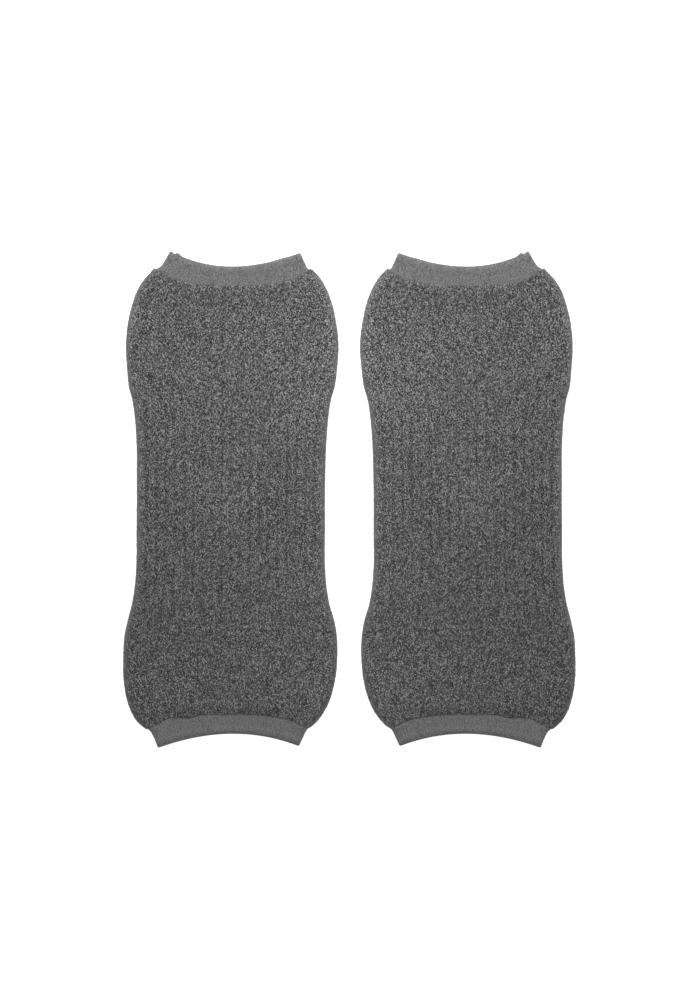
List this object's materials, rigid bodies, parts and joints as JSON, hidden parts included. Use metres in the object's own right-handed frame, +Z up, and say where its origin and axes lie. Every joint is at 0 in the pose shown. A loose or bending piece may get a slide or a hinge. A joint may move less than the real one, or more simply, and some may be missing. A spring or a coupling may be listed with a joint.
{
  "type": "pair of knee warmers",
  "caption": "Pair of thick knitted knee warmers laid flat side by side: open tubes, narrow behind the knee, wider over thigh and shin, with a thin elastic cuff at each end.",
  "frame": {"origin": "on the surface that the pair rests on, under the middle of the box round both warmers", "axes": "+X to the right of the pair, +Y from the shin end to the thigh end, +Z up, out of the front of the cloth"},
  "size_m": [0.2738, 0.3011, 0.0073],
  "materials": {
    "plush_knit": "thick looped knit in marled mid grey, matt, with fine light and dark flecks",
    "cuff_knit": "fine smooth elastic knit in a lighter plain grey, with faint ribs along the leg"
  },
  "bodies": {
    "root": {"left_body": "plush_knit", "left_top_cuff": "cuff_knit", "left_bottom_cuff": "cuff_knit", "right_body": "plush_knit", "right_top_cuff": "cuff_knit", "right_bottom_cuff": "cuff_knit"}
  },
  "joints": []
}
